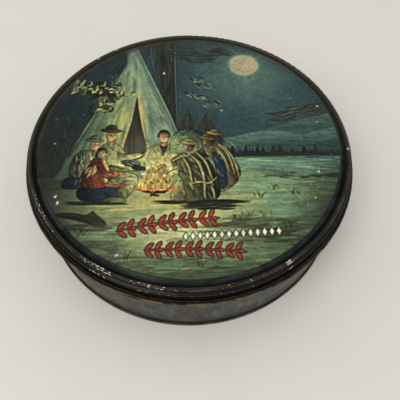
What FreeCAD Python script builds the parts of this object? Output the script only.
"""Round slip-lid tin: a drawn lid over a soldered body with a double-seamed bottom.

Frame: origin on the resting plane under the middle of the tin, +Z up along the tin's axis, and -Y
towards the foot of the picture on the lid. Millimetres.

Every sheet-metal piece is one thickness of tinplate all over. Its section is a folded line along the
middle of the sheet, given by corners and bend radii, thickened and turned about the Z axis.
"""
import FreeCAD
import Part
import math
import os

# ---- driving dimensions -------------------------------------------------------------------------
LID_RADIUS = 100.0            # over the curled hem of the lid
HEIGHT = 53.5                 # resting plane to the flat picture panel
SHEET = 0.30                  # tinplate thickness
FOLD_GAP = 0.02               # air left between two pressed layers of a fold

PANEL_RADIUS = 90.35          # where the flat picture panel starts to bend down
PANEL_BEND = 1.6
CHANNEL_INNER = 92.55         # shallow channel round the panel
CHANNEL_OUTER = 93.55
CHANNEL_DEPTH = 1.7
CHANNEL_BEND = 0.6
CREST_INNER = 94.15           # rounded ridge outside the channel
CREST_DROP = 0.2              # below the picture panel
CREST_BEND = 0.8

SKIRT_RADIUS = 96.15          # outside of the skirt, at its top; below its bead it flares to the hem
BEAD_PROUD = 1.55             # bead round the top of the skirt
BEAD_TOP = 2.45               # below the picture panel
BEAD_HEIGHT = 2.6
BEAD_FLAT = 1.0
BEAD_BEND = 0.55
HEM_BOTTOM = 41.35            # above the resting plane
HEM_BEND = 1.25               # of the hollow curl at the lid's edge
HEM_TUCK_BEND = 0.8
HEM_TUCK = 0.35               # how far the curl's end turns back down

LID_CLEARANCE = 0.35          # radial play between the skirt and the body
RIM_TOP = 51.78               # top of the body, which carries the lid's channel
RIM_BEND = 1.1                # of the hollow curl at the mouth, turned inwards
RIM_TUCK_BEND = 0.6

SEAM_HEIGHT = 3.2             # double seam round the bottom
BODY_HOOK_TOP = 2.5
END_HOOK_BOTTOM = 1.1
SEAM_BEND = 0.5
BOTTOM_LIFT = 3.9             # bottom panel above the resting plane, middle of the sheet
CHUCK_BEND = 0.8              # between the panel and the upright that fits inside the body
RING_INNER = 78.0             # stiffening ring pressed down into the bottom panel
RING_OUTER = 86.0
RING_DEPTH = 0.8
RING_SLOPE = 1.2
RING_BEND = 0.8

SIDE_SEAM_AZIMUTH = 78.0      # from +X, so at the back
SIDE_SEAM_WIDTH = 4.0         # of the folded lock inside the wall
SIDE_SEAM_LAYERS = 3          # layers of sheet inside the wall's own
SIDE_SEAM_BOTTOM = 5.0
SIDE_SEAM_TOP = 48.5
GROOVE_WIDTH = 1.2            # outside, where the lock closes
GROOVE_DEPTH = 0.12
GROOVE_BOTTOM = 3.6
GROOVE_TOP = 50.0
SOLDER_PROUD = 0.05
SOLDER_FILLET = 0.7           # along one edge of the lock, inside

# ---- worked-out sizes ---------------------------------------------------------------------------
HALF = SHEET / 2
LAYER = SHEET + FOLD_GAP                              # from one pressed layer to the next
PANEL_LINE = HEIGHT - HALF
CHANNEL_LINE = PANEL_LINE - CHANNEL_DEPTH
CREST_LINE = PANEL_LINE - CREST_DROP
SKIRT_LINE = SKIRT_RADIUS - HALF
BEAD_LINE = SKIRT_LINE + BEAD_PROUD
BEAD_MIDDLE = HEIGHT - BEAD_TOP - BEAD_HEIGHT / 2
HEM_LINE = LID_RADIUS - HALF
HEM_LOW = HEM_BOTTOM + HALF
HEM_HIGH = HEM_LOW + 2 * HEM_BEND
HEM_INNER = HEM_LINE - 2 * HEM_BEND
HEM_END = HEM_INNER + LAYER
WALL_LINE = SKIRT_RADIUS - SHEET - LID_CLEARANCE - HALF
WALL_OUTSIDE = WALL_LINE + HALF
WALL_INSIDE = WALL_LINE - HALF
RIM_LINE = RIM_TOP - HALF
CHUCK_LINE = WALL_LINE - LAYER
END_HOOK_LINE = WALL_LINE + LAYER
BODY_HOOK_LINE = WALL_LINE + 2 * LAYER
COVER_LINE = WALL_LINE + 3 * LAYER
RING_LINE = BOTTOM_LIFT - RING_DEPTH


def sideways(direction, distance):
    """A step to the left of a direction in the section's plane, where X is radius and Z is height."""
    return FreeCAD.Vector(-direction.z, 0, direction.x) * distance


def folded_section(corners):
    """Face of a sheet folded along corners: (radius, height, bend radius) of the sheet's middle."""
    points = [FreeCAD.Vector(radius, 0, height) for radius, height, _ in corners]
    sides = {HALF: [], -HALF: []}

    def run(first, last):
        if (last - first).Length < 1e-6:
            return
        along = (last - first).normalize()
        for offset, edges in sides.items():
            edges.append(Part.makeLine(first + sideways(along, offset), last + sideways(along, offset)))

    def bend(first, middle, last, centre, leftwards):
        for offset, edges in sides.items():
            change = -offset if leftwards else offset
            ends = [point + (point - centre).normalize() * change for point in (first, middle, last)]
            edges.append(Part.Arc(*ends).toShape())

    start = points[0]
    for before, corner, after, (_, _, radius) in zip(points, points[1:], points[2:], corners[1:]):
        arriving = (corner - before).normalize()
        leaving = (after - corner).normalize()
        half_turn = arriving.getAngle(leaving) / 2
        reach = radius * math.tan(half_turn)
        first = corner - arriving * reach
        last = corner + leaving * reach
        inwards = (leaving - arriving).normalize()
        centre = corner + inwards * (radius / math.cos(half_turn))
        leftwards = sideways(arriving, 1).dot(leaving) > 0
        run(start, first)
        bend(first, centre - inwards * radius, last, centre, leftwards)
        start = last
    run(start, points[-1])

    left, right = sides.values()
    begin_cap = Part.makeLine(right[0].firstVertex().Point, left[0].firstVertex().Point)
    end_cap = Part.makeLine(left[-1].lastVertex().Point, right[-1].lastVertex().Point)
    return Part.Face(Part.Wire(left + [end_cap] + right[::-1] + [begin_cap]))


def turned(corners):
    """A folded sheet turned once round the tin's axis."""
    return folded_section(corners).revolve(FreeCAD.Vector(), FreeCAD.Vector(0, 0, 1), 360)


def lid_shell():
    """Lid drawn from one sheet: panel, channel, crest, beaded skirt and hem curled outwards."""
    return turned([
        (0, PANEL_LINE, 0),
        (PANEL_RADIUS, PANEL_LINE, PANEL_BEND),
        (CHANNEL_INNER, CHANNEL_LINE, CHANNEL_BEND),
        (CHANNEL_OUTER, CHANNEL_LINE, CHANNEL_BEND),
        (CREST_INNER, CREST_LINE, CREST_BEND),
        (SKIRT_LINE, CREST_LINE, CREST_BEND),
        (SKIRT_LINE, BEAD_MIDDLE + BEAD_HEIGHT / 2, BEAD_BEND),
        (BEAD_LINE, BEAD_MIDDLE + BEAD_FLAT / 2, BEAD_BEND),
        (BEAD_LINE, BEAD_MIDDLE - BEAD_FLAT / 2, BEAD_BEND),
        (SKIRT_LINE, BEAD_MIDDLE - BEAD_HEIGHT / 2, BEAD_BEND),
        (HEM_INNER, HEM_LOW, HEM_BEND),
        (HEM_LINE, HEM_LOW, HEM_BEND),
        (HEM_LINE, HEM_HIGH, HEM_BEND),
        (HEM_END, HEM_HIGH, HEM_TUCK_BEND),
        (HEM_END, HEM_HIGH - HEM_TUCK_BEND - HEM_TUCK, 0),
    ])


def body_wall():
    """Body rolled from one strip: mouth curl, wall with its side lock, and the seam's body hook."""
    tucked = RIM_LINE - 2 * RIM_BEND
    curl_inner = WALL_LINE - 2 * RIM_BEND
    wall = turned([
        (curl_inner + RIM_BEND, tucked, 0),
        (curl_inner, tucked, RIM_TUCK_BEND),
        (curl_inner, RIM_LINE, RIM_BEND),
        (WALL_LINE, RIM_LINE, RIM_BEND),
        (WALL_LINE, HALF + LAYER, LAYER),
        (BODY_HOOK_LINE, HALF + LAYER, LAYER),
        (BODY_HOOK_LINE, BODY_HOOK_TOP, 0),
    ])
    lock = seam_block(WALL_INSIDE - SIDE_SEAM_LAYERS * SHEET, WALL_LINE, SIDE_SEAM_WIDTH,
                      SIDE_SEAM_BOTTOM, SIDE_SEAM_TOP)
    groove = seam_block(WALL_OUTSIDE - GROOVE_DEPTH, SKIRT_RADIUS, GROOVE_WIDTH,
                        GROOVE_BOTTOM, GROOVE_TOP)
    return wall.fuse(lock).cut(groove).removeSplitter()


def body_bottom():
    """Bottom end: ringed panel, upright inside the wall, and the seam's cover and end hook."""
    return turned([
        (0, BOTTOM_LIFT, 0),
        (RING_INNER, BOTTOM_LIFT, RING_BEND),
        (RING_INNER + RING_SLOPE, RING_LINE, RING_BEND),
        (RING_OUTER - RING_SLOPE, RING_LINE, RING_BEND),
        (RING_OUTER, BOTTOM_LIFT, RING_BEND),
        (CHUCK_LINE, BOTTOM_LIFT, CHUCK_BEND),
        (CHUCK_LINE, HALF, SEAM_BEND),
        (COVER_LINE, HALF, SEAM_BEND),
        (COVER_LINE, SEAM_HEIGHT - HALF, LAYER),
        (END_HOOK_LINE, SEAM_HEIGHT - HALF, LAYER),
        (END_HOOK_LINE, END_HOOK_BOTTOM, 0),
    ])


def side_seam_solder(wall):
    """Solder of the side lock: a flush line filling the groove outside, and a fillet inside."""
    line = seam_block(WALL_OUTSIDE - GROOVE_DEPTH, WALL_OUTSIDE + SOLDER_PROUD, GROOVE_WIDTH,
                      GROOVE_BOTTOM, GROOVE_TOP)
    edge = SIDE_SEAM_WIDTH / 2
    corner = FreeCAD.Vector(WALL_LINE, edge, SIDE_SEAM_BOTTOM)
    down_lock = corner - FreeCAD.Vector(HALF + SOLDER_FILLET, 0, 0)
    along_wall = corner + FreeCAD.Vector(0, SOLDER_FILLET, 0)
    triangle = Part.Face(Part.makePolygon([corner, down_lock, along_wall, corner]))
    fillet = triangle.extrude(FreeCAD.Vector(0, 0, SIDE_SEAM_TOP - SIDE_SEAM_BOTTOM))
    fillet.rotate(FreeCAD.Vector(), FreeCAD.Vector(0, 0, 1), SIDE_SEAM_AZIMUTH)
    return Part.Compound([line.cut(wall).Solids[0], fillet.cut(wall).Solids[0]])


def seam_block(inner, outer, width, low, high):
    """Piece of a ring between two radii, as wide as the seam and standing at its azimuth."""
    height = high - low
    ring = Part.makeCylinder(outer, height).cut(Part.makeCylinder(inner, height))
    slab = Part.makeBox(outer, width, height, FreeCAD.Vector(0, -width / 2, 0))
    block = ring.common(slab)
    block.translate(FreeCAD.Vector(0, 0, low))
    block.rotate(FreeCAD.Vector(), FreeCAD.Vector(0, 0, 1), SIDE_SEAM_AZIMUTH)
    return block


def main():
    """Write one STEP file per piece."""
    os.makedirs("parts", exist_ok=True)
    wall = body_wall()
    pieces = {
        "lid_shell": lid_shell(),
        "body_wall": wall,
        "body_bottom": body_bottom(),
        "side_seam_solder": side_seam_solder(wall),
    }
    for name, shape in pieces.items():
        shape.exportStep(f"parts/{name}.step")


main()
